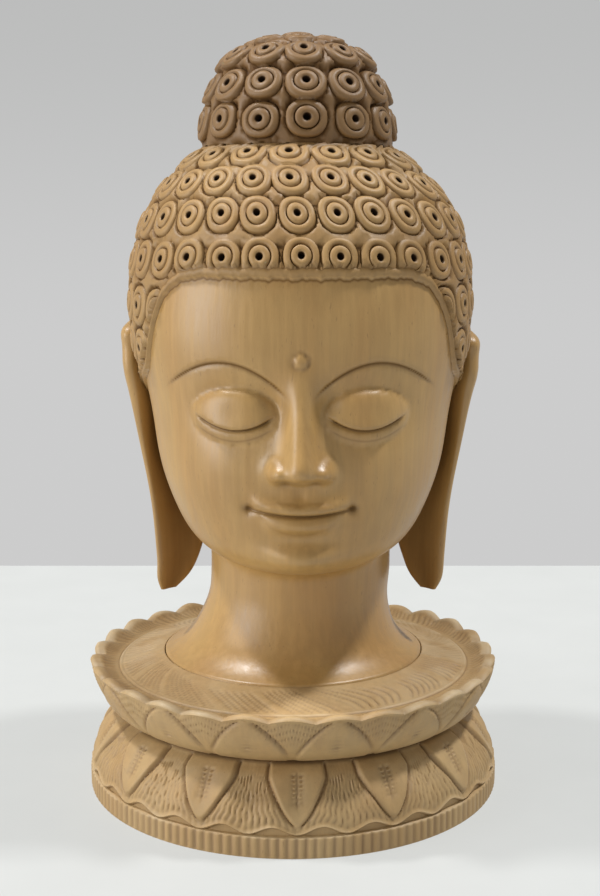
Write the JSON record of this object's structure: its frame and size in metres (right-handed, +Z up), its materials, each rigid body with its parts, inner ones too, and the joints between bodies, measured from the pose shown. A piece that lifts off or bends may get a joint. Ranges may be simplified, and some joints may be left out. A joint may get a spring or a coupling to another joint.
{
  "type": "buddha head sculpture on a lotus stand",
  "caption": "Carved wooden Buddha head with curled hair, topknot and long ears, standing in the round seat of a turned double-lotus stand.",
  "frame": {"origin": "centre of the stand's flat underside", "axes": "+Z up, the face looks along -Y, +X to the viewer's right"},
  "size_m": [0.1424, 0.1424, 0.2539],
  "materials": {
    "head_wood": "satin carved pale hardwood, darker in the grooves",
    "stand_wood": "dull turned and chiselled pale hardwood"
  },
  "bodies": {
    "root": {"head": "head_wood", "lotus_stand": "stand_wood"}
  },
  "joints": []
}
